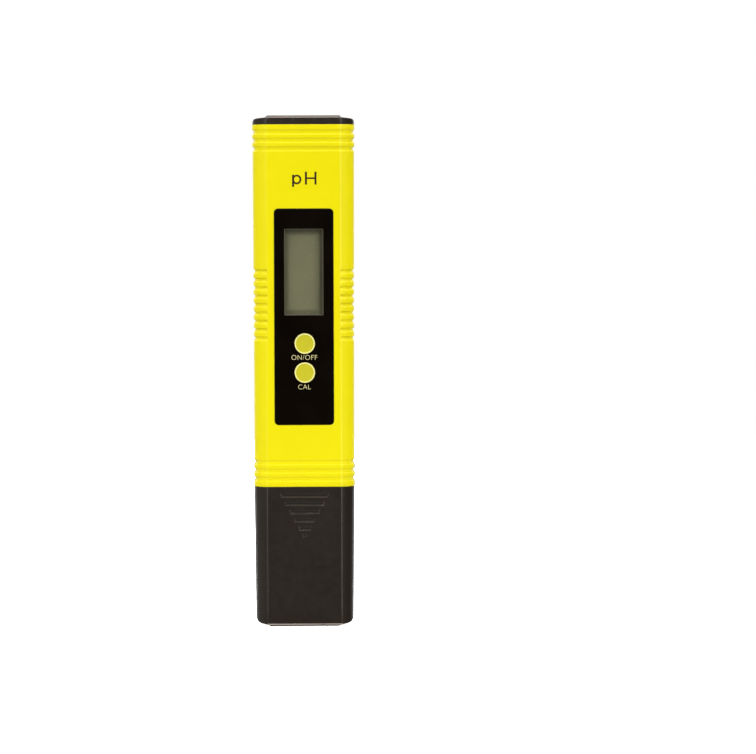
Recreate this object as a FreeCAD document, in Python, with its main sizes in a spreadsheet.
# Pocket pH meter of the pen kind, built as an assembly of separate pieces.
# Frame: millimetres, +Z along the length towards the battery end, front face
# towards -Y, origin at the centre of the flat the cap stands on.
import FreeCAD, Part
import Sketcher
import math
import os

Vector = FreeCAD.Vector
doc = FreeCAD.newDocument("ph_meter")

# ---------------------------------------------------------------- dimensions
# "half" is half a width in X, "depth" half a thickness in Y, "low" and "high"
# are heights in Z.
DIMS = [
    # housing: outside, bore, grooves
    ("overall_length", 155.0), ("cap_length", 42.4), ("shell_top", 152.3),
    ("shell_half_low", 15.17), ("shell_half_high", 15.46), ("shell_depth", 8.75),
    ("face_half", 11.03), ("crease_radius", 1.0), ("side_flat", 3.3),
    ("bore_half", 13.45), ("bore_depth", 7.2), ("bore_face", 10.2), ("bore_flat", 2.9),
    ("collar_proud", 0.1), ("groove_deep", 0.43), ("groove_pitch", 2.52),
    ("top_groove", 150.0), ("low_groove", 49.75), ("grip_groove", 107.9), ("grip_count", 9),
    ("grip_pitch", 2.54), ("ring_count", 3),
    # front panel, display and keys
    ("panel_half", 9.0), ("panel_low", 61.2), ("panel_high", 126.8), ("panel_thick", 0.78),
    ("panel_round", 1.3), ("panel_gap", 0.05), ("pocket_deep", 0.8),
    ("window_half", 5.75), ("window_low", 94.7), ("window_high", 120.55),
    ("opening_half", 6.3), ("opening_low", 94.1), ("opening_high", 121.1),
    ("key_x", 0.2), ("key_high", 85.9), ("key_low", 77.1), ("key_rad", 3.1),
    ("key_hole", 3.25), ("key_passage", 3.5), ("key_proud", 0.32),
    # rear wall
    ("latch_slot_half", 4.1), ("latch_slot_rad", 1.16), ("latch_slot_z", 139.3),
    ("screw_z", 130.2), ("screw_well", 1.925), ("screw_pass", 1.15), ("screw_seat", 5.2),
    ("boss_rad", 3.4), ("boss_end", 3.6),
    ("clip_slot_half", 2.95), ("clip_slot_low", 118.6), ("clip_slot_high", 123.3),
    ("bridge_half", 3.125), ("bridge_low", 148.3),
    # probe cap
    ("cap_half_low", 14.70), ("cap_half_high", 15.18), ("cap_depth_low", 8.3),
    ("cap_depth_high", 8.65), ("cap_bore_low", 13.0), ("cap_bore_high", 13.6),
    ("cap_bore_depth_low", 6.9), ("cap_bore_depth_high", 7.3), ("cap_floor", 2.2),
    # battery end
    ("end_half", 15.46), ("end_depth", 8.75), ("cell_rad", 5.8), ("cell_thick", 5.4),
    ("cell_z", 144.4), ("cell_y", 1.0), ("tray_half", 7.2), ("tray_front", 7.0),
    ("tray_rear", 5.6), ("tray_low", 136.8),
    # board
    ("board_half", 9.0), ("board_low", 57.5), ("board_high", 127.0), ("board_front", 2.4),
    ("board_back", 1.4),
    # sensor and wiring
    ("neck_low", 32.4), ("guard_rad", 6.0), ("guard_bore", 4.7), ("guard_low", 12.0),
    ("guard_high", 36.3), ("tube_rad", 2.8), ("tube_bore", 2.2), ("tube_high", 52.0),
    ("bulb_rad", 3.9), ("bulb_wall", 0.4), ("bulb_z", 18.5),
    ("pin_x", 9.2), ("pin_rad", 1.15), ("pin_low", 20.0), ("pin_high", 48.0),
    ("junction_rad", 1.45), ("junction_low", 31.9), ("junction_high", 38.0),
    ("lead_rad", 0.45),
]
sheet = doc.addObject("Spreadsheet::Sheet", "Dims")
for row, (alias, number) in enumerate(DIMS, start=1):
    sheet.set("A%d" % row, alias)
    sheet.set("B%d" % row, str(number))
    sheet.setAlias("B%d" % row, alias)
doc.recompute()


class Size:
    """A size: the expression that binds it to the sheet, and its number."""

    def __init__(self, text, number):
        self.text = text
        self.number = float(number)

    @staticmethod
    def of(other):
        return other if isinstance(other, Size) else Size(repr(float(other)), other)

    def join(self, other, sign, number):
        return Size("(%s %s %s)" % (self.text, sign, Size.of(other).text), number)

    def __add__(self, other):
        return self.join(other, "+", self.number + Size.of(other).number)

    def __sub__(self, other):
        return self.join(other, "-", self.number - Size.of(other).number)

    def __mul__(self, other):
        return self.join(other, "*", self.number * Size.of(other).number)

    def __neg__(self):
        return Size("(0 - %s)" % self.text, -self.number)


class Sizes:
    """The driving dimensions, one attribute for each alias."""

    def __init__(self, table):
        for alias, number in table:
            setattr(self, alias, Size("Dims." + alias, number))


dims = Sizes(DIMS)
case_front = dims.shell_depth + 2    # cutting sketches stand 2 mm clear of the case
case_rear = -case_front
low_collar_half = dims.shell_half_low + 0.12
collar_depth = dims.shell_depth + dims.collar_proud
recess_floor = dims.shell_depth - dims.pocket_deep


def num(size):
    return Size.of(size).number


def bind(obj, prop, size):
    if isinstance(size, Size):
        obj.setExpression(prop, size.text)
    else:
        setattr(obj, prop, size)


# ------------------------------------------------------------ solid helpers
PIECES = []
TURN = {
    "+Z": FreeCAD.Rotation(Vector(0, 0, 1), 0),
    "+Y": FreeCAD.Rotation(Vector(1, 0, 0), -90),
    "-Y": FreeCAD.Rotation(Vector(1, 0, 0), 90),
    "+X": FreeCAD.Rotation(Vector(0, 1, 0), 90),
}


def piece(obj, label=None):
    """List an object for export, under a new label if one is given."""
    if label:
        obj.Label = label
    PIECES.append(obj)


def place(obj, x, y, z, way="+Z"):
    """Turn the object's own Z to the given way and move its origin."""
    obj.Placement = FreeCAD.Placement(Vector(0, 0, 0), TURN[way])
    for axis, value in (("x", x), ("y", y), ("z", z)):
        if isinstance(value, Size) or value:
            obj.setExpression("Placement.Base.%s" % axis, Size.of(value).text)


def box(label, x0, x1, y0, y1, z0, z1):
    block = doc.addObject("Part::Box", label)
    bind(block, "Length", Size.of(x1) - x0)
    bind(block, "Width", Size.of(y1) - y0)
    bind(block, "Height", Size.of(z1) - z0)
    place(block, x0, y0, z0)
    return block


def cyl(label, radius, height, x, y, z, way="+Z"):
    cylinder = doc.addObject("Part::Cylinder", label)
    bind(cylinder, "Radius", radius)
    bind(cylinder, "Height", height)
    place(cylinder, x, y, z, way)
    return cylinder


def fuse(label, items):
    union = doc.addObject("Part::MultiFuse", label)
    union.Shapes = items
    union.Refine = True
    return union


def cut(label, base, tools):
    tool = tools[0] if len(tools) == 1 else fuse(label + "_tools", tools)
    result = doc.addObject("Part::Cut", label)
    result.Base = base
    result.Tool = tool
    result.Refine = True
    return result


def group(label, items):
    """Several separate solids of one kind kept in one object."""
    compound = doc.addObject("Part::Compound", label)
    compound.Links = items
    return compound


# ----------------------------------------------------------- sketch helpers
def new_body(label):
    return doc.addObject("PartDesign::Body", label)


def origin_feature(body, role):
    for item in body.Origin.OriginFeatures:
        if item.Role == role:
            return item


def sketch(body, name, role, offset=0):
    """Sketch on an origin plane. Offsets go to +Z on XY, -Y on XZ, +X on YZ."""
    sk = body.newObject("Sketcher::SketchObject", name)
    sk.AttachmentSupport = [(origin_feature(body, role), "")]
    sk.MapMode = "FlatFace"
    if isinstance(offset, Size) or offset:
        sk.AttachmentOffset = FreeCAD.Placement(Vector(0, 0, num(offset)), FreeCAD.Rotation())
        sk.setExpression("AttachmentOffset.Base.z", Size.of(offset).text)
    return sk


def dimension(sk, kind, targets, size):
    index = sk.addConstraint(Sketcher.Constraint(kind, *(list(targets) + [num(size)])))
    if isinstance(size, Size):
        sk.renameConstraint(index, "dim_%d" % index)
        sk.setExpression("Constraints.dim_%d" % index, size.text)


def join_ends(sk, kind, first, count):
    """Constrain the end of each element to the start of the next, in a ring."""
    sk.addConstraint([
        Sketcher.Constraint(kind, first + i, 2, first + (i + 1) % count, 1)
        for i in range(count)])


def hold_point(sk, geometry, point, x, y):
    """Hold a point of the sketch at its distances from the sketch origin."""
    for kind, value, axis in (("DistanceX", x, -2), ("DistanceY", y, -1)):
        if num(value) == 0.0:
            sk.addConstraint(Sketcher.Constraint("PointOnObject", geometry, point, axis))
        elif num(value) > 0:
            dimension(sk, kind, (-1, 1, geometry, point), value)
        else:
            dimension(sk, kind, (geometry, point, -1, 1), -Size.of(value))


def polygon(sk, points):
    """Closed outline of straight sides; every corner held from the origin."""
    first = sk.GeometryCount
    count = len(points)
    ends = [Vector(num(x), num(y), 0) for x, y in points]
    sk.addGeometry([Part.LineSegment(ends[i], ends[(i + 1) % count])
                    for i in range(count)], False)
    join_ends(sk, "Coincident", first, count)
    for i, (x, y) in enumerate(points):
        hold_point(sk, first + i, 1, x, y)


def rectangle(sk, x0, x1, y0, y1):
    polygon(sk, [(x0, y0), (x1, y0), (x1, y1), (x0, y1)])


def mirrored_polygons(sk, points):
    """The outline and its mirror image in the sketch's vertical axis."""
    for side in (1, -1):
        polygon(sk, [(x * side, y) for x, y in points])


def circle(sk, x, y, radius):
    first = sk.GeometryCount
    sk.addGeometry(Part.Circle(Vector(num(x), num(y), 0), Vector(0, 0, 1), num(radius)), False)
    dimension(sk, "Radius", (first,), radius)
    hold_point(sk, first, 3, x, y)


def line(x0, y0, x1, y1):
    return Part.LineSegment(Vector(x0, y0, 0), Vector(x1, y1, 0))


def arc(x, y, radius, start, end):
    ring = Part.Circle(Vector(x, y, 0), Vector(0, 0, 1), radius)
    return Part.ArcOfCircle(ring, start, end)


def side_turn(half, depth, face, flat, crease):
    """Angle the crease turns through and the radius of the rounded side."""
    def side_radius(turn):
        sine = math.sin(turn)
        return (half - face - crease * sine) / (1 - sine)

    def miss(turn):
        cosine = math.cos(turn)
        return depth - crease * (1 - cosine) - side_radius(turn) * cosine - flat

    low, high = math.radians(2), math.radians(75)
    starts_above = miss(low) > 0
    for step in range(70):
        middle = (low + high) / 2
        if (miss(middle) > 0) == starts_above:
            low = middle
        else:
            high = middle
    return low, side_radius(low)


def section(body, name, height, half, depth, face, flat):
    """Outline across the case: flat front and rear, a crease, rounded sides.

    face is half the width of the flat faces, flat half that of the flat sides.
    """
    crease = dims.crease_radius
    side_x, face_y, face_x, side_y, bend = [num(q) for q in (half, depth, face, flat, crease)]
    turn, big = side_turn(side_x, face_y, face_x, side_y, bend)
    right = math.pi / 2
    sk = sketch(body, name, "XY_Plane", height)
    sk.addGeometry([
        line(-face_x, -face_y, face_x, -face_y),
        arc(face_x, -face_y + bend, bend, -right, -right + turn),
        arc(side_x - big, -side_y, big, -right + turn, 0),
        line(side_x, -side_y, side_x, side_y),
        arc(side_x - big, side_y, big, 0, right - turn),
        arc(face_x, face_y - bend, bend, right - turn, right),
        line(face_x, face_y, -face_x, face_y),
        arc(-face_x, face_y - bend, bend, right, right + turn),
        arc(-side_x + big, side_y, big, right + turn, 2 * right),
        line(-side_x, side_y, -side_x, -side_y),
        arc(-side_x + big, -side_y, big, 2 * right, 3 * right - turn),
        arc(-face_x, -face_y + bend, bend, 3 * right - turn, 3 * right)], False)
    join_ends(sk, "Tangent", 0, 12)
    sk.addConstraint([
        Sketcher.Constraint("Horizontal", 0), Sketcher.Constraint("Vertical", 3),
        Sketcher.Constraint("Horizontal", 6), Sketcher.Constraint("Vertical", 9)])
    for kind, targets, size in (
            ("DistanceX", (-1, 1, 0, 2), face), ("DistanceX", (0, 1, -1, 1), face),
            ("DistanceX", (-1, 1, 6, 1), face), ("DistanceX", (6, 2, -1, 1), face),
            ("DistanceY", (0, 1, -1, 1), depth), ("DistanceY", (-1, 1, 6, 1), depth),
            ("DistanceX", (-1, 1, 3, 1), half), ("DistanceX", (9, 1, -1, 1), half),
            ("DistanceY", (3, 1, -1, 1), flat), ("DistanceY", (-1, 1, 3, 2), flat),
            ("DistanceY", (-1, 1, 9, 1), flat), ("DistanceY", (9, 2, -1, 1), flat)):
        dimension(sk, kind, targets, size)
    for index in (1, 5, 7, 11):
        dimension(sk, "Radius", (index,), crease)
    return sk


def outer_section(body, name, height, half, depth):
    return section(body, name, height, half, depth, dims.face_half, dims.side_flat)


def bore_section(body, name, height, half, depth):
    return section(body, name, height, half, depth, dims.bore_face, dims.bore_flat)


# ---------------------------------------------------------- feature helpers
def extrude(body, kind, name, profile, length, options):
    feature = body.newObject("PartDesign::" + kind, name)
    feature.Profile = profile
    bind(feature, "Length", length)
    for key, value in options.items():
        setattr(feature, key, value)
    return feature


def pad(body, name, profile, length, **options):
    return extrude(body, "Pad", name, profile, length, options)


def pocket(body, name, profile, length, **options):
    return extrude(body, "Pocket", name, profile, length, options)


def loft(body, kind, name, low, high):
    feature = body.newObject("PartDesign::" + kind, name)
    feature.Profile = low
    feature.Sections = [high]
    feature.Ruled = True


def revolve(body, name, profile):
    feature = body.newObject("PartDesign::Revolution", name)
    feature.Profile = profile
    feature.ReferenceAxis = (origin_feature(body, "Z_Axis"), [""])
    feature.Angle = 360.0


def spin(label, points):
    """Body of revolution about its own Z from a closed outline of (radius, z)."""
    body = new_body(label)
    outline = sketch(body, label + "_outline", "XZ_Plane")
    polygon(outline, points)
    revolve(body, label + "_turned", outline)
    return body


def volume_of(body):
    doc.recompute()
    return body.Shape.Volume


def expect_cut(body, before, least, what):
    """Stop unless the volume is now below `before` by more than `least`."""
    volume = volume_of(body)
    if not volume < before - least:
        raise RuntimeError("%s did not cut" % what)
    return volume


# Section of one moulded groove: (height from its middle, height above the
# surface). None marks the groove floor.
GROOVE = [
    (-0.95, 0.6), (-0.95, 0.0), (-0.70, -0.15), (-0.52, None),
    (0.46, None), (0.66, -0.15), (0.95, 0.0), (0.95, 0.6),
]


def ring_grooves(body, name, set_name, height, half, depth, pitch, count):
    """A groove swept round the case, repeated downwards at a pitch."""
    path = outer_section(body, name + "_path", height, half, depth)
    profile = sketch(body, name + "_profile", "YZ_Plane", -dims.face_half)
    polygon(profile, [
        (dims.groove_deep - depth if rise is None else -depth - rise, height + along)
        for along, rise in GROOVE])
    groove = body.newObject("PartDesign::SubtractivePipe", name)
    groove.Profile = profile
    groove.Spine = (path, ["Edge%d" % (i + 1) for i in range(12)])
    doc.recompute()
    pattern = body.newObject("PartDesign::LinearPattern", set_name)
    pattern.Originals = [groove]
    pattern.Direction = (origin_feature(body, "Z_Axis"), [""])
    pattern.Reversed = True
    pattern.Mode = "Spacing"
    bind(pattern, "Offset", pitch)
    bind(pattern, "Occurrences", count)
    body.Tip = pattern


# ------------------------------------------------------------------- housing
def housing_outside(shell):
    """Tapered walls with a slightly proud collar at each end."""
    low = outer_section(shell, "shell_low_outline", dims.cap_length,
                        dims.shell_half_low, dims.shell_depth)
    high = outer_section(shell, "shell_high_outline", dims.shell_top,
                         dims.shell_half_high, dims.shell_depth)
    loft(shell, "AdditiveLoft", "shell_walls", low, high)
    low_collar = outer_section(shell, "low_collar_outline", dims.cap_length,
                               low_collar_half, collar_depth)
    pad(shell, "low_collar", low_collar, dims.low_groove - dims.cap_length)
    high_collar = outer_section(shell, "high_collar_outline",
                                dims.top_groove - dims.groove_pitch * 2,
                                dims.shell_half_high + dims.collar_proud, collar_depth)
    pad(shell, "high_collar", high_collar,
        dims.shell_top - dims.top_groove + dims.groove_pitch * 2)


def housing_grooves(shell):
    """Ring grooves at both ends, grip grooves on the rounded sides."""
    plain = volume_of(shell)
    ring_grooves(shell, "top_groove_cut", "top_grooves", dims.top_groove,
                 dims.shell_half_high + dims.collar_proud, collar_depth,
                 dims.groove_pitch, dims.ring_count)
    ring_grooves(shell, "low_groove_cut", "low_grooves", dims.low_groove,
                 low_collar_half, collar_depth, dims.groove_pitch, dims.ring_count)
    ringed = expect_cut(shell, plain, 100, "ring grooves")

    # The grip grooves run all round; the flat faces are then filled again.
    ring_grooves(shell, "grip_groove_cut", "grip_grooves", dims.grip_groove,
                 dims.shell_half_high - 0.1, dims.shell_depth,
                 dims.grip_pitch, dims.grip_count)
    expect_cut(shell, ringed, 200, "grip grooves")
    fill_half, fill_inside = 11.2, 7.0
    fill = sketch(shell, "face_fill_outline", "XY_Plane",
                  dims.grip_groove - dims.grip_pitch * dims.grip_count)
    for side in (1, -1):
        rectangle(fill, -fill_half, fill_half, fill_inside * side, dims.shell_depth * side)
    pad(shell, "face_fill", fill, dims.grip_pitch * (dims.grip_count + 1))
    filled = expect_cut(shell, ringed, 50, "grip grooves")

    # smooth bridge across the first groove at the middle of the rear face
    bridge = sketch(shell, "bridge_outline", "XY_Plane", dims.bridge_low)
    rectangle(bridge, -dims.bridge_half, dims.bridge_half, dims.bore_depth, collar_depth)
    pad(shell, "groove_bridge", bridge, dims.shell_top - dims.bridge_low)
    return filled


def housing_inside(shell, before):
    """Bore right through, then the screw boss on its rear wall."""
    bore = bore_section(shell, "bore_outline", dims.cap_length - 1,
                        dims.bore_half, dims.bore_depth)
    pocket(shell, "bore", bore, dims.overall_length, Reversed=True)
    bored = expect_cut(shell, before, before * 0.5, "bore")
    boss_root = dims.bore_depth + 0.3
    boss = sketch(shell, "screw_boss_outline", "XZ_Plane", -boss_root)
    circle(boss, 0, dims.screw_z, dims.boss_rad)
    pad(shell, "screw_boss", boss, boss_root - dims.boss_end)
    return bored


def housing_front(shell, before):
    """Recess for the panel, display opening and key passages."""
    recess = sketch(shell, "panel_recess_outline", "XZ_Plane", case_front)
    rectangle(recess, -dims.panel_half - dims.panel_gap, dims.panel_half + dims.panel_gap,
              dims.panel_low - dims.panel_gap, dims.panel_high + dims.panel_gap)
    pocket(shell, "panel_recess", recess, dims.pocket_deep + 2)
    # the screw boss has added material since the last volume
    recessed = expect_cut(shell, before, -100, "panel recess")
    opening = sketch(shell, "opening_outline", "XZ_Plane", case_front)
    rectangle(opening, -dims.opening_half, dims.opening_half,
              dims.opening_low, dims.opening_high)
    circle(opening, 0, dims.key_high, dims.key_passage)
    circle(opening, 0, dims.key_low, dims.key_passage)
    opening_end = 5    # distance of the cut's end in front of the centre plane
    pocket(shell, "front_openings", opening, case_front - opening_end)
    return expect_cut(shell, recessed, 200, "front openings")


def housing_rear(shell, before):
    """Screw well, clip slot and latch slot."""
    slot_end = 6.9    # both slots end here, inside the bore
    well = sketch(shell, "well_outline", "XZ_Plane", case_rear)
    circle(well, 0, dims.screw_z, dims.screw_well)
    pocket(shell, "screw_well_cut", well, case_front - dims.screw_seat, Reversed=True)
    passage = sketch(shell, "screw_pass_outline", "XZ_Plane", case_rear)
    circle(passage, 0, dims.screw_z, dims.screw_pass)
    pocket(shell, "screw_pass_cut", passage, case_front - dims.boss_end + 0.5, Reversed=True)
    clip_slot = sketch(shell, "rear_slots_outline", "XZ_Plane", case_rear)
    rectangle(clip_slot, -dims.clip_slot_half, dims.clip_slot_half,
              dims.clip_slot_low, dims.clip_slot_high)
    pocket(shell, "clip_slot", clip_slot, case_front - slot_end, Reversed=True)

    # latch slot: round at both ends
    end_x = dims.latch_slot_half - dims.latch_slot_rad
    x, z, radius = end_x.number, dims.latch_slot_z.number, dims.latch_slot_rad.number
    right = math.pi / 2
    slot = sketch(shell, "latch_slot_outline", "XZ_Plane", case_rear)
    slot.addGeometry([
        line(-x, z - radius, x, z - radius), arc(x, z, radius, -right, right),
        line(x, z + radius, -x, z + radius), arc(-x, z, radius, right, 3 * right)], False)
    join_ends(slot, "Tangent", 0, 4)
    slot.addConstraint(Sketcher.Constraint("Horizontal", 0))
    dimension(slot, "Radius", (1,), dims.latch_slot_rad)
    dimension(slot, "DistanceX", (-1, 1, 1, 3), end_x)
    dimension(slot, "DistanceX", (3, 3, -1, 1), end_x)
    dimension(slot, "DistanceY", (-1, 1, 1, 3), dims.latch_slot_z)
    if slot.solve() != 0:
        raise RuntimeError("latch slot outline does not solve")
    pocket(shell, "latch_slot", slot, case_front - slot_end, Reversed=True)
    expect_cut(shell, before, 40, "rear openings")


def build_housing():
    shell = new_body("housing")
    housing_outside(shell)
    filled = housing_grooves(shell)
    bored = housing_inside(shell, filled)
    opened = housing_front(shell, bored)
    housing_rear(shell, opened)
    piece(shell)


# --------------------------------------------------- front panel and its lens
def build_panel():
    panel = new_body("front_overlay")
    outline = sketch(panel, "panel_outline", "XZ_Plane", recess_floor)
    rectangle(outline, -dims.panel_half, dims.panel_half, dims.panel_low, dims.panel_high)
    plain = pad(panel, "panel_sheet", outline, dims.panel_thick)
    doc.recompute()
    corners = panel.newObject("PartDesign::Fillet", "panel_corners")
    through_edges = [
        "Edge%d" % (i + 1) for i, edge in enumerate(plain.Shape.Edges)
        if abs(edge.BoundBox.YLength - dims.panel_thick.number) < 1e-6
        and edge.BoundBox.XLength < 1e-6]
    corners.Base = (plain, through_edges)
    bind(corners, "Radius", dims.panel_round - 0.05)
    openings = sketch(panel, "panel_openings", "XZ_Plane", case_front)
    rectangle(openings, -dims.window_half, dims.window_half, dims.window_low, dims.window_high)
    circle(openings, dims.key_x, dims.key_high, dims.key_hole)
    circle(openings, dims.key_x, dims.key_low, dims.key_hole)
    pocket(panel, "panel_window", openings, 6.0)
    piece(panel)


def build_lens():
    gap = 0.05    # all round, inside the display opening
    piece(box("display_lens", -dims.opening_half + gap, dims.opening_half - gap,
              -recess_floor, -dims.bore_depth,
              dims.opening_low + gap, dims.opening_high - gap))


# ------------------------------------------------------------------- display
# label, half width, front y, rear y, low z, high z
LCD_LAYERS = [
    ("lcd_front_polarizer", 6.6, -7.08, -6.88, 93.2, 122.0),
    ("lcd_front_glass", 7.0, -6.88, -5.78, 92.6, 122.6),
    ("lcd_rear_glass", 7.0, -5.78, -4.68, 95.6, 122.6),
    ("lcd_rear_polarizer", 6.6, -4.68, -4.43, 96.0, 122.2),
    ("zebra_strip", 6.5, -5.78, -dims.board_front, 92.9, 95.3),
]


def build_display():
    for label, half, front, rear, low, high in LCD_LAYERS:
        piece(box(label, -half, half, front, rear, low, high))
    outer = box("lcd_frame_outer", -8.3, 8.3, -7.14, -dims.board_front, 91.3, 123.9)
    inner = box("lcd_frame_inner", -7.1, 7.1, -7.5, -2.0, 92.5, 122.7)
    piece(cut("lcd_frame", outer, [inner]))


# --------------------------------------------------------------------- board
BOARD_SCREWS = [(-7.2, 60.6), (7.2, 60.6), (-7.2, 125.4), (7.2, 125.4)]    # x, z


def build_board():
    blank = box("board_blank", -dims.board_half, dims.board_half,
                -dims.board_front, -dims.board_back, dims.board_low, dims.board_high)
    holes = [cyl("board_hole_%d" % i, 0.8, 2.0, x, -3.0, z, "+Y")
             for i, (x, z) in enumerate(BOARD_SCREWS)]
    piece(cut("circuit_board", blank, holes))


def build_board_screws():
    drive_half, drive_thin = 0.8, 0.2    # half length and half width of the cross
    face = -dims.board_front
    screws = []
    for i, (x, z) in enumerate(BOARD_SCREWS):
        head = cyl("board_screw_head_%d" % i, 1.4, 0.9, x, face - 0.9, z, "+Y")
        shank = cyl("board_screw_shank_%d" % i, 0.78, 2.7, x, face - 0.2, z, "+Y")
        drives = [
            box("board_screw_%s_%d" % (word, i), x - wide, x + wide,
                face - 1.0, face - 0.6, z - tall, z + tall)
            for word, wide, tall in (("slot", drive_half, drive_thin),
                                     ("cross", drive_thin, drive_half))]
        blank = fuse("board_screw_blank_%d" % i, [head, shank])
        screws.append(cut("board_screw_%d" % i, blank, drives))
    piece(group("board_screws", screws))


# number, centre x, centre z, width, length
SMD = [
    (0, -4.6, 74.6, 1.25, 2.0), (2, 5.6, 72.4, 1.25, 2.0), (3, 7.4, 72.4, 1.25, 2.0),
    (4, 5.6, 75.8, 1.25, 2.0), (5, -7.6, 76.0, 1.6, 3.2), (6, -7.6, 81.0, 1.25, 2.0),
    (7, -7.6, 86.0, 1.25, 2.0), (8, 7.2, 81.0, 1.25, 2.0), (9, 7.2, 85.5, 1.6, 3.2),
]
# radius, height above the board
CHIP_DOME = [(0, 0), (4.2, 0), (3.9, 0.45), (3.2, 0.85), (2.0, 1.12), (0, 1.2)]


def build_components():
    """Parts soldered to the front of the board."""
    dome = spin("controller_chip", CHIP_DOME)
    place(dome, 0, -dims.board_front, 68.4, "-Y")
    piece(dome)

    case = box("amp_case", 4.9, 8.8, -3.85, -2.55, 64.2, 69.2)
    first_leg, leg_pitch, leg_half = 64.75, 1.27, 0.2
    legs = [box("amp_leg_%s_%d" % (word, i), x0, x1, -2.75, -dims.board_front,
                first_leg + leg_pitch * i - leg_half, first_leg + leg_pitch * i + leg_half)
            for word, x0, x1 in (("in", 4.3, 4.95), ("out", 8.75, 8.95)) for i in range(4)]
    piece(fuse("op_amp", [case] + legs))

    can_x, can_y = -6.9, -3.42
    can = cyl("crystal_can", 1.0, 6.0, can_x, can_y, 66.0)
    pins = [cyl("crystal_pin_%d" % i, 0.15, 1.4, can_x + shift, can_y, 64.7)
            for i, shift in enumerate((-0.4, 0.4))]
    piece(fuse("crystal", [can] + pins))

    piece(group("smd_components", [
        box("smd_%d" % i, x - width / 2, x + width / 2, -3.05, -dims.board_front,
            z - length / 2, z + length / 2)
        for i, x, z, width, length in SMD]))


# ---------------------------------------------------------- keys and switches
# radius, height of the domed spring disc
SWITCH_DOME = [
    (0, 0.95), (1.0, 0.86), (1.8, 0.55), (2.3, 0.0),
    (2.2, 0.0), (1.72, 0.47), (0.95, 0.77), (0, 0.86),
]


def build_button(word, z):
    """Key cap with a flange behind the panel and a low rim on its face."""
    radius = dims.key_rad
    proud = recess_floor + dims.panel_thick + dims.key_proud
    # radius, distance in front of the centre plane
    button = spin(word + "_button", [
        (0, proud - 0.03), (radius - 0.75, proud - 0.03), (radius - 0.55, proud),
        (radius - 0.3, proud), (radius - 0.08, proud - 0.1), (radius, proud - 0.32),
        (radius, 7.15), (4.0, 7.15), (4.0, 6.45), (1.2, 6.45), (1.2, 6.3), (0, 6.3)])
    place(button, dims.key_x, 0, z, "-Y")
    piece(button)


def build_switches():
    half = 3.0
    cover_front, cover_rear = -5.9, -5.75
    blocks, covers, domes = [], [], []
    for word, z in (("on_off", dims.key_high), ("cal", dims.key_low)):
        blank = box(word + "_switch_block", -half, half, cover_rear, -dims.board_front,
                    z - half, z + half)
        cavity = cyl(word + "_switch_cavity", 2.4, 2.0, 0, -5.8, z, "+Y")
        blocks.append(cut(word + "_switch_body", blank, [cavity]))
        plate = box(word + "_cover_plate", -half, half, cover_front, cover_rear,
                    z - half, z + half)
        eye = cyl(word + "_cover_eye", 1.8, 1.0, 0, -6.2, z, "+Y")
        covers.append(cut(word + "_switch_cover", plate, [eye]))
        dome = spin(word + "_dome", SWITCH_DOME)
        place(dome, 0, -3.85, z, "-Y")
        domes.append(dome)
        plunger = fuse(word + "_plunger_parts", [
            cyl(word + "_plunger_top", 1.7, 0.9, 0, -6.25, z, "+Y"),
            cyl(word + "_plunger_flange", 2.25, 0.45, 0, -5.65, z, "+Y")])
        piece(plunger, word + "_switch_plunger")
        build_button(word, z)
    piece(group("switch_bodies", blocks))
    piece(group("switch_covers", covers))
    piece(group("switch_domes", domes))


# ------------------------------------------------------------------- chassis
def build_chassis():
    low, high = 57.2, 134.0
    plate_rear, rail_depth = 0.6, 2.6
    plate = box("chassis_plate", -12.1, 12.1, -0.4, plate_rear, low, high)
    rails = [box("chassis_rail_%s" % word, x0, x1, -rail_depth, rail_depth, low, high)
             for word, x0, x1 in (("left", -13.35, -12.0), ("right", 12.0, 13.35))]
    posts = [cyl("chassis_post_%d" % i, 1.9, 1.1, x, -dims.board_back, z, "+Y")
             for i, (x, z) in enumerate(BOARD_SCREWS)]
    seat = cyl("chassis_screw_post", 2.7, 3.1, 0, 0.45, dims.screw_z, "+Y")
    horns = [box("chassis_horn_%s" % word, x0, x1, -rail_depth, plate_rear, 133.9, 136.0)
             for word, x0, x1 in (("left", -10.4, -8.75), ("right", 8.75, 10.4))]
    holes = [cyl("chassis_tap_%d" % i, 0.78, 3.0, x, -1.6, z, "+Y")
             for i, (x, z) in enumerate(BOARD_SCREWS)]
    holes.append(cyl("chassis_screw_tap", 1.0, 6.0, 0, -1.0, dims.screw_z, "+Y"))
    holes += [box("chassis_lightening_%d" % i, -5.5, 5.5, -1.0, 1.2, z0, z1)
              for i, (z0, z1) in enumerate(((64.0, 76.0), (80.0, 100.0), (104.0, 121.0)))]
    blank = fuse("chassis_blank", [plate] + rails + posts + horns + [seat])
    piece(cut("chassis", blank, holes))


def build_chassis_screw():
    drive_half, drive_thin = 1.1, 0.25    # half length and half width of the cross
    seat, z = dims.screw_seat, dims.screw_z
    head = cyl("chassis_screw_head", 1.8, 1.2, 0, seat, z, "+Y")
    shank = cyl("chassis_screw_shank", 0.98, 5.6, 0, -0.2, z, "+Y")
    drives = [box("chassis_screw_drive_%s" % word, -wide, wide, seat + 0.6, seat + 1.5,
                  z - tall, z + tall)
              for word, wide, tall in (("a", drive_half, drive_thin),
                                       ("b", drive_thin, drive_half))]
    piece(cut("chassis_screw", fuse("chassis_screw_blank", [head, shank]), drives))


# --------------------------------------------------------------- battery end
# x, height from the very top: step cut away at each side of the end block
WING_STEP = [
    (11.0, 1.0), (11.0, 0.0), (11.7, -0.6), (14.42, -0.86),
    (15.14, -1.12), (15.46, -1.7), (16.2, -1.7), (16.2, 1.0),
]
# y beyond the face, height from the very top: bevel at front and rear
END_BEVEL = [(0.5, 0.5), (-0.45, 0.5), (-0.45, 0), (-0.4, -0.27), (0, -0.67), (0.5, -0.67)]


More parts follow.
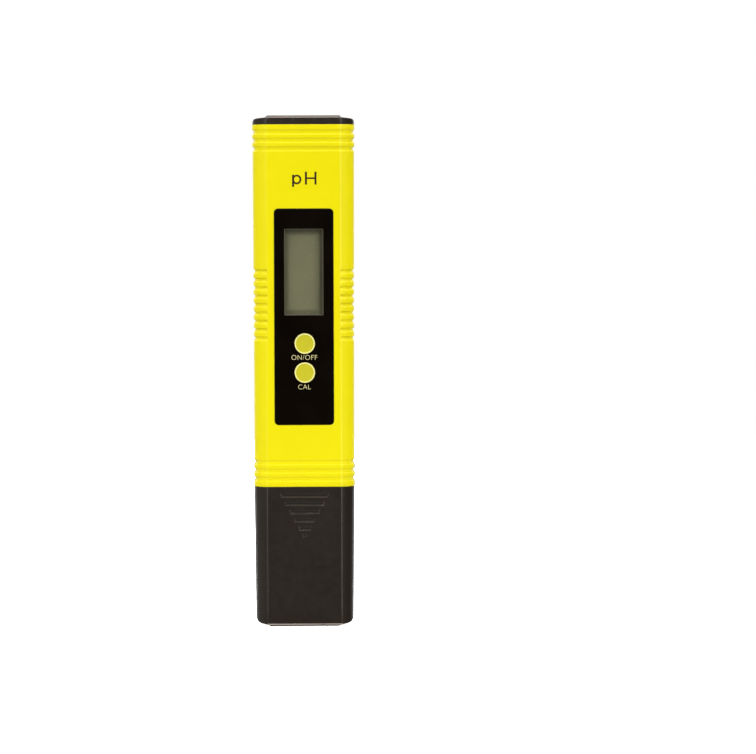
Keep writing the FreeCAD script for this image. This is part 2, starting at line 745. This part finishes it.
def build_drawer():
    drawer = new_body("battery_drawer")
    top = dims.overall_length
    end = outer_section(drawer, "end_outline", dims.shell_top, dims.end_half, dims.end_depth)
    pad(drawer, "end_block", end, top - dims.shell_top)
    wings = sketch(drawer, "wing_outline", "XZ_Plane")
    mirrored_polygons(wings, [(x, top + rise) for x, rise in WING_STEP])
    pocket(drawer, "wing_steps", wings, 40.0, Midplane=True)
    bevel = sketch(drawer, "bevel_outline", "YZ_Plane")
    mirrored_polygons(bevel, [(dims.end_depth + out, top + rise) for out, rise in END_BEVEL])
    pocket(drawer, "end_bevels", bevel, 60.0, Midplane=True)
    tray = sketch(drawer, "tray_outline", "XY_Plane", dims.tray_low)
    rectangle(tray, -dims.tray_half, dims.tray_half, -dims.tray_front, dims.tray_rear)
    pad(drawer, "tray_block", tray, dims.shell_top - dims.tray_low + 0.2)
    root = sketch(drawer, "latch_root_outline", "XY_Plane", 150.3)
    rectangle(root, -4.3, 4.3, 5.0, 7.0)
    pad(drawer, "latch_root", root, 2.2)
    solid = volume_of(drawer)

    # round bay for the two cells, open to the front
    bay_width = 11.2
    bay_radius = dims.cell_rad + 0.15
    bay = sketch(drawer, "cell_bay_outline", "YZ_Plane")
    circle(bay, -dims.cell_y, dims.cell_z, bay_radius)
    pocket(drawer, "cell_bay", bay, bay_width, Midplane=True)
    mouth = sketch(drawer, "bay_mouth_outline", "YZ_Plane")
    rectangle(mouth, -9.0, -dims.cell_y, dims.cell_z - bay_radius, dims.cell_z + bay_radius)
    pocket(drawer, "bay_mouth", mouth, bay_width, Midplane=True)
    leaf_way = sketch(drawer, "leaf_way_outline", "YZ_Plane")
    rectangle(leaf_way, -3.15, -0.15, 136.0, 147.2)
    pocket(drawer, "leaf_ways", leaf_way, 20.0, Midplane=True)
    expect_cut(drawer, solid, 500, "cell bay")
    piece(drawer)


# y, z of the tongue seen from the side
LATCH_SIDE = [
    (6.15, 136.9), (6.85, 136.9), (7.05, 137.4), (7.05, 141.2), (6.8, 141.8),
    (6.8, 149.7), (6.6, 150.05), (6.35, 150.05), (6.15, 149.7),
]


def build_latch():
    latch = new_body("drawer_latch")
    side = sketch(latch, "latch_outline", "YZ_Plane")
    polygon(side, LATCH_SIDE)
    pad(latch, "latch_tongue", side, 8.4, Midplane=True)
    plain = volume_of(latch)
    # six furrows in the rear face leave ribs between them
    first_x, pitch, width = -3.3, 1.2, 0.6
    furrows = sketch(latch, "latch_rib_outline", "XY_Plane", 137.5)
    for i in range(6):
        x = first_x + pitch * i
        rectangle(furrows, x, x + width, 6.85, 7.4)
    pocket(latch, "latch_ribs", furrows, 3.6, Reversed=True)
    expect_cut(latch, plain, 1, "latch ribs")
    piece(latch)


# x, z of the right-hand contact strip seen from the front
CONTACT_SIDE = [
    (8.35, 129.0), (8.65, 129.0), (8.65, 142.3), (5.85, 143.8), (5.85, 145.0),
    (7.9, 146.2), (7.75, 146.45), (5.46, 145.1), (5.46, 143.7), (8.35, 142.1),
]


def build_cell(word, x):
    radius, thick = dims.cell_rad, dims.cell_thick
    cell = spin("battery_cell_" + word, [
        (0, 0), (radius - 0.35, 0), (radius, 0.3), (radius, thick - 1.15),
        (radius - 0.3, thick - 0.75), (radius - 0.9, thick - 0.7),
        (radius - 0.95, thick - 0.1), (radius - 1.1, thick), (0, thick)])
    place(cell, x, -dims.cell_y, dims.cell_z, "+X")
    piece(cell)


def build_contact(word, side):
    leaf = new_body("battery_contact_" + word)
    outline = sketch(leaf, "contact_%s_outline" % word, "XZ_Plane")
    polygon(outline, [(x * side, z) for x, z in CONTACT_SIDE])
    pad(leaf, "contact_%s_strip" % word, outline, 2.4, Midplane=True)
    place(leaf, 0, -dims.cell_y - 0.65, 0)
    piece(leaf)


def build_batteries():
    """Two cells side by side, both facing the same way, in series."""
    gap = 0.01    # from each cell to the middle
    build_cell("left", -dims.cell_thick - gap)
    build_cell("right", gap)
    build_contact("left", -1)
    build_contact("right", 1)


# ---------------------------------------------------------------- sensor end
SEAL_LOW = 49.0    # floor of the well the potting fills


def build_holder():
    """Neck the cap slides on, plug inside the housing, bores for the probes."""
    holder = new_body("electrode_holder")
    low = bore_section(holder, "neck_low_outline", dims.neck_low,
                       dims.cap_bore_high - 0.25, dims.cap_bore_depth_high - 0.2)
    high = bore_section(holder, "neck_high_outline", dims.cap_length,
                        dims.cap_bore_high - 0.1, dims.cap_bore_depth_high - 0.1)
    loft(holder, "AdditiveLoft", "neck", low, high)
    plug = bore_section(holder, "plug_outline", dims.cap_length,
                        dims.bore_half - 0.1, dims.bore_depth - 0.1)
    pad(holder, "plug", plug, 13.0)
    solid = volume_of(holder)

    below_neck = dims.neck_low - 1
    bores = sketch(holder, "holder_bores_outline", "XY_Plane", below_neck)
    circle(bores, 0, 0, dims.tube_rad + 0.05)
    circle(bores, -dims.pin_x, 0, dims.pin_rad + 0.02)
    circle(bores, dims.pin_x, 0, dims.junction_rad + 0.02)
    pocket(holder, "holder_bores", bores, 30.0, Reversed=True)
    socket = sketch(holder, "guard_socket_outline", "XY_Plane", below_neck)
    circle(socket, 0, 0, dims.guard_rad + 0.03)
    pocket(holder, "guard_socket", socket, dims.guard_high + 0.1 - below_neck, Reversed=True)
    well = sketch(holder, "seal_well_outline", "XY_Plane", SEAL_LOW)
    rectangle(well, -11.2, 11.2, -5.2, 5.2)
    pocket(holder, "seal_well", well, 10.0, Reversed=True)
    expect_cut(holder, solid, 500, "holder bores")
    piece(holder)


def build_guard():
    """Tube round the glass bulb with four side windows."""
    reach, half, low, high = 7.0, 2.1, 15.0, 28.0
    outer = cyl("guard_outer", dims.guard_rad, dims.guard_high - dims.guard_low,
                0, 0, dims.guard_low)
    tools = [cyl("guard_inner", dims.guard_bore, 30.0, 0, 0, 10.0),
             box("guard_window_x", -reach, reach, -half, half, low, high),
             box("guard_window_y", -half, half, -reach, reach, low, high)]
    piece(cut("guard_tube", outer, tools), "electrode_guard")


def build_glass():
    """Hollow glass bulb blown on the end of an open tube."""
    glass = new_body("glass_electrode")
    outline = sketch(glass, "glass_outline", "XZ_Plane")
    bulb_bore = dims.bulb_rad - dims.bulb_wall
    bulb_z, outer, inner = dims.bulb_z.number, dims.bulb_rad.number, bulb_bore.number
    tube, bore, top = dims.tube_rad.number, dims.tube_bore.number, dims.tube_high.number
    # heights above the bulb centre where the bulb meets the tube
    outer_rise = math.sqrt(outer * outer - tube * tube)
    inner_rise = math.sqrt(inner * inner - bore * bore)
    outline.addGeometry([
        line(0, bulb_z - inner, 0, bulb_z - outer),
        arc(0, bulb_z, outer, -math.pi / 2, math.atan2(outer_rise, tube)),
        line(tube, bulb_z + outer_rise, tube, top),
        line(tube, top, bore, top),
        line(bore, top, bore, bulb_z + inner_rise),
        arc(0, bulb_z, inner, -math.pi / 2, math.atan2(inner_rise, bore))], False)
    for ends in ((0, 2, 1, 1), (1, 2, 2, 1), (2, 2, 3, 1),
                 (3, 2, 4, 1), (4, 2, 5, 2), (5, 1, 0, 1)):
        outline.addConstraint(Sketcher.Constraint("Coincident", *ends))
    outline.addConstraint([
        Sketcher.Constraint("Vertical", 0), Sketcher.Constraint("Vertical", 2),
        Sketcher.Constraint("Horizontal", 3), Sketcher.Constraint("Vertical", 4),
        Sketcher.Constraint("PointOnObject", 1, 3, -2),
        Sketcher.Constraint("Coincident", 1, 3, 5, 3),
        Sketcher.Constraint("PointOnObject", 0, 1, -2)])
    dimension(outline, "Radius", (1,), dims.bulb_rad)
    dimension(outline, "Radius", (5,), bulb_bore)
    dimension(outline, "DistanceY", (-1, 1, 1, 3), dims.bulb_z)
    dimension(outline, "DistanceX", (-1, 1, 2, 2), dims.tube_rad)
    dimension(outline, "DistanceX", (-1, 1, 4, 1), dims.tube_bore)
    dimension(outline, "DistanceY", (-1, 1, 2, 2), dims.tube_high)
    revolve(glass, "glass_blown", outline)
    piece(glass)


def build_probes():
    """Silver wire on the axis, temperature pin at left, junction at right."""
    wire = fuse("silver_wire_parts", [
        cyl("silver_stem", 0.3, 35.2, 0, 0, 18.2),
        cyl("silver_chloride_tip", 0.55, 5.0, 0, 0, 17.6)])
    piece(wire, "silver_wire")
    pin = fuse("temperature_probe_parts", [
        cyl("probe_pin", dims.pin_rad, dims.pin_high - dims.pin_low,
            -dims.pin_x, 0, dims.pin_low),
        cyl("probe_tip", dims.pin_rad - 0.3, 0.5, -dims.pin_x, 0, dims.pin_low - 0.4)])
    piece(pin, "temperature_probe")
    piece(cyl("reference_junction", dims.junction_rad, dims.junction_high - dims.junction_low,
              dims.pin_x, 0, dims.junction_low))


def build_seal():
    block = box("seal_block", -11.15, 11.15, -5.15, 5.15, SEAL_LOW + 0.05, 53.4)
    below, lead_hole = 48.9, dims.lead_rad + 0.3
    piece(cut("potting_seal", block, [
        cyl("seal_tube_hole", dims.tube_rad + 0.01, dims.tube_high - below, 0, 0, below),
        cyl("seal_wire_hole", 0.31, 6.0, 0, 0, SEAL_LOW),
        cyl("seal_left_hole", lead_hole, 6.0, -dims.pin_x, 0, 48.5),
        cyl("seal_right_hole", lead_hole, 6.0, dims.pin_x, 0, 48.5)]))


# --------------------------------------------------------------------- leads
PIN_X = dims.pin_x.number
SOLDER_Y = -dims.board_front.number - 0.35    # where a lead ends at the board
# x, y, z along each lead; side leads are given for the right-hand side
CENTRE_LEAD = [
    (0, 0, 53.7), (0, -0.05, 54.8), (0, -1.9, 55.9), (0, -3.6, 58.2),
    (0, -3.7, 60.6), (0, SOLDER_Y, 62.2),
]
REFERENCE_START = [(PIN_X, 0, 38.3), (PIN_X, 0, 42.0), (PIN_X, 0, 46.0)]
TEMPERATURE_START = [(PIN_X, 0, 48.2)]
PROBE_LEAD = [
    (PIN_X, 0, 50.0), (PIN_X, 0, 53.0), (9.1, -0.2, 54.6), (8.0, -2.0, 56.0),
    (4.4, -3.6, 58.3), (3.4, -3.7, 60.4), (3.2, SOLDER_Y, 62.0),
]
BATTERY_LEAD = [
    (8.5, -3.4, 130.2), (8.45, -4.3, 129.6), (7.2, -4.6, 128.3),
    (5.0, -3.9, 126.3), (4.4, SOLDER_Y, 125.4),
]


def build_lead(label, points, side=1):
    """Insulated wire bent through the points; side -1 mirrors it to the left."""
    curve = Part.BSplineCurve()
    curve.interpolate([Vector(x * side, y, z) for x, y, z in points])
    path = Part.Wire([curve.toShape()])
    start = curve.value(curve.FirstParameter)
    heading = curve.tangent(curve.FirstParameter)[0]
    ring = Part.Wire([Part.Circle(start, heading, dims.lead_rad.number).toShape()])
    wire = doc.addObject("Part::Feature", label)
    wire.Shape = path.makePipeShell([ring], True, True)
    piece(wire)


def build_leads():
    build_lead("electrode_lead", CENTRE_LEAD)
    build_lead("reference_lead", REFERENCE_START + PROBE_LEAD)
    build_lead("temperature_lead", TEMPERATURE_START + PROBE_LEAD, side=-1)
    build_lead("battery_lead_red", BATTERY_LEAD)
    build_lead("battery_lead_black", BATTERY_LEAD, side=-1)


# ----------------------------------------------------------------- probe cap
# x, z: step cut away at each side of the foot
FOOT_STEP = [
    (10.35, -1.0), (10.35, 0.0), (11.3, 0.45), (13.2, 0.85), (14.0, 1.1),
    (14.45, 1.5), (14.72, 2.35), (15.7, 2.35), (15.7, -1.0),
]
# y beyond the face, z: bevel at front and rear of the foot
TOE_BEVEL = [(0.5, -0.5), (-0.45, -0.5), (-0.45, 0.0), (-0.4, 0.28), (0.02, 0.7), (0.5, 0.7)]
# width, low z: thumb grip, five steps in a V
THUMB_STEPS = [(14.3, 39.5), (11.7, 37.0), (8.8, 34.5), (6.1, 31.9), (3.3, 29.4)]


def build_cap():
    cap = new_body("probe_cap")
    low = outer_section(cap, "cap_low_outline", 0, dims.cap_half_low, dims.cap_depth_low)
    high = outer_section(cap, "cap_high_outline", dims.cap_length,
                         dims.cap_half_high, dims.cap_depth_high)
    loft(cap, "AdditiveLoft", "cap_walls", low, high)
    bore_low = bore_section(cap, "cap_bore_low_outline", dims.cap_floor,
                            dims.cap_bore_low, dims.cap_bore_depth_low)
    bore_high = bore_section(cap, "cap_bore_high_outline", dims.cap_length,
                             dims.cap_bore_high, dims.cap_bore_depth_high)
    solid = volume_of(cap)
    loft(cap, "SubtractiveLoft", "cap_bore", bore_low, bore_high)
    bored = expect_cut(cap, solid, solid * 0.5, "cap bore")

    feet = sketch(cap, "cap_foot_outline", "XZ_Plane")
    mirrored_polygons(feet, FOOT_STEP)
    pocket(cap, "cap_foot_steps", feet, 40.0, Midplane=True)
    toe = sketch(cap, "cap_toe_outline", "YZ_Plane")
    mirrored_polygons(toe, [(dims.cap_depth_low + out, z) for out, z in TOE_BEVEL])
    pocket(cap, "cap_toe_bevels", toe, 60.0, Midplane=True)

    start, floor, rise = 10.0, 8.25, 1.2    # cut from start to floor, either side of y = 0
    for word, offset, backwards in (("front", start, False), ("rear", -start, True)):
        steps = sketch(cap, "thumb_%s_outline" % word, "XZ_Plane", offset)
        for width, z in THUMB_STEPS:
            polygon(steps, [(-width / 2 + 0.55, z), (width / 2 - 0.55, z),
                            (width / 2 + 0.1, z + rise), (-width / 2 - 0.1, z + rise)])
        pocket(cap, "thumb_%s_steps" % word, steps, start - floor, Reversed=backwards)
    expect_cut(cap, bored, 20, "thumb steps")
    piece(cap)


# --------------------------------------------------------------- pocket clip
# y, z of the arm seen from the side
CLIP_SIDE = [
    (8.85, 123.7), (12.3, 123.7), (12.95, 123.35), (13.2, 122.6), (13.15, 118.0),
    (12.3, 96.0), (11.2, 76.0), (10.7, 73.4), (10.1, 72.8), (9.5, 72.8), (8.95, 73.6),
    (8.85, 75.2), (9.1, 76.8), (9.7, 79.0), (10.6, 96.0), (11.3, 115.0), (11.0, 116.3),
    (10.2, 116.8), (8.85, 116.8),
]
# x, z of the waste trimmed from each side of the arm
CLIP_TRIM = [
    (5.5, 124.5), (3.5, 124.5), (3.75, 123.7), (4.15, 123.3), (4.12, 120.0),
    (3.25, 98.8), (2.33, 77.6), (2.2, 74.2), (1.7, 73.3), (0.65, 72.75), (0.65, 72.0),
    (5.5, 72.0),
]
# y, z of the stem that enters the slot in the rear wall
CLIP_STEM = [
    (6.2, 121.4), (6.2, 123.6), (6.6, 124.0), (6.95, 124.0),
    (6.95, 123.2), (9.2, 123.2), (9.2, 119.0), (7.0, 119.0),
]


def build_clip():
    clip = new_body("pocket_clip")
    side = sketch(clip, "clip_side_outline", "YZ_Plane")
    polygon(side, CLIP_SIDE)
    pad(clip, "clip_arm", side, 8.3, Midplane=True)
    plain = volume_of(clip)
    trim = sketch(clip, "clip_front_outline", "XZ_Plane")
    mirrored_polygons(trim, CLIP_TRIM)
    pocket(clip, "clip_taper", trim, 60.0, Midplane=True)
    expect_cut(clip, plain, 50, "clip taper")
    stem = sketch(clip, "clip_stem_outline", "YZ_Plane")
    polygon(stem, CLIP_STEM)
    pad(clip, "clip_stem", stem, 5.6, Midplane=True)
    piece(clip)


# ------------------------------------------------------------ build and write
def check_and_export():
    doc.recompute()
    for obj in doc.Objects:
        for state in obj.State:
            if "Invalid" in state or "Error" in state:
                raise RuntimeError("%s is %s" % (obj.Label, obj.State))
    labels = set()
    for obj in PIECES:
        shape = obj.Shape
        if shape.isNull() or not shape.isValid() or not shape.Solids:
            raise RuntimeError("%s has no valid solid" % obj.Label)
        if obj.Label in labels:
            raise RuntimeError("%s is used twice" % obj.Label)
        labels.add(obj.Label)
    os.makedirs("parts", exist_ok=True)
    for obj in PIECES:
        obj.Shape.exportStep("parts/%s.step" % obj.Label)


build_housing()
build_panel()
build_lens()
build_display()
build_board()
build_board_screws()
build_components()
build_switches()
build_chassis()
build_chassis_screw()
build_drawer()
build_latch()
build_batteries()
build_holder()
build_guard()
build_glass()
build_probes()
build_leads()
build_seal()
build_cap()
build_clip()
check_and_export()
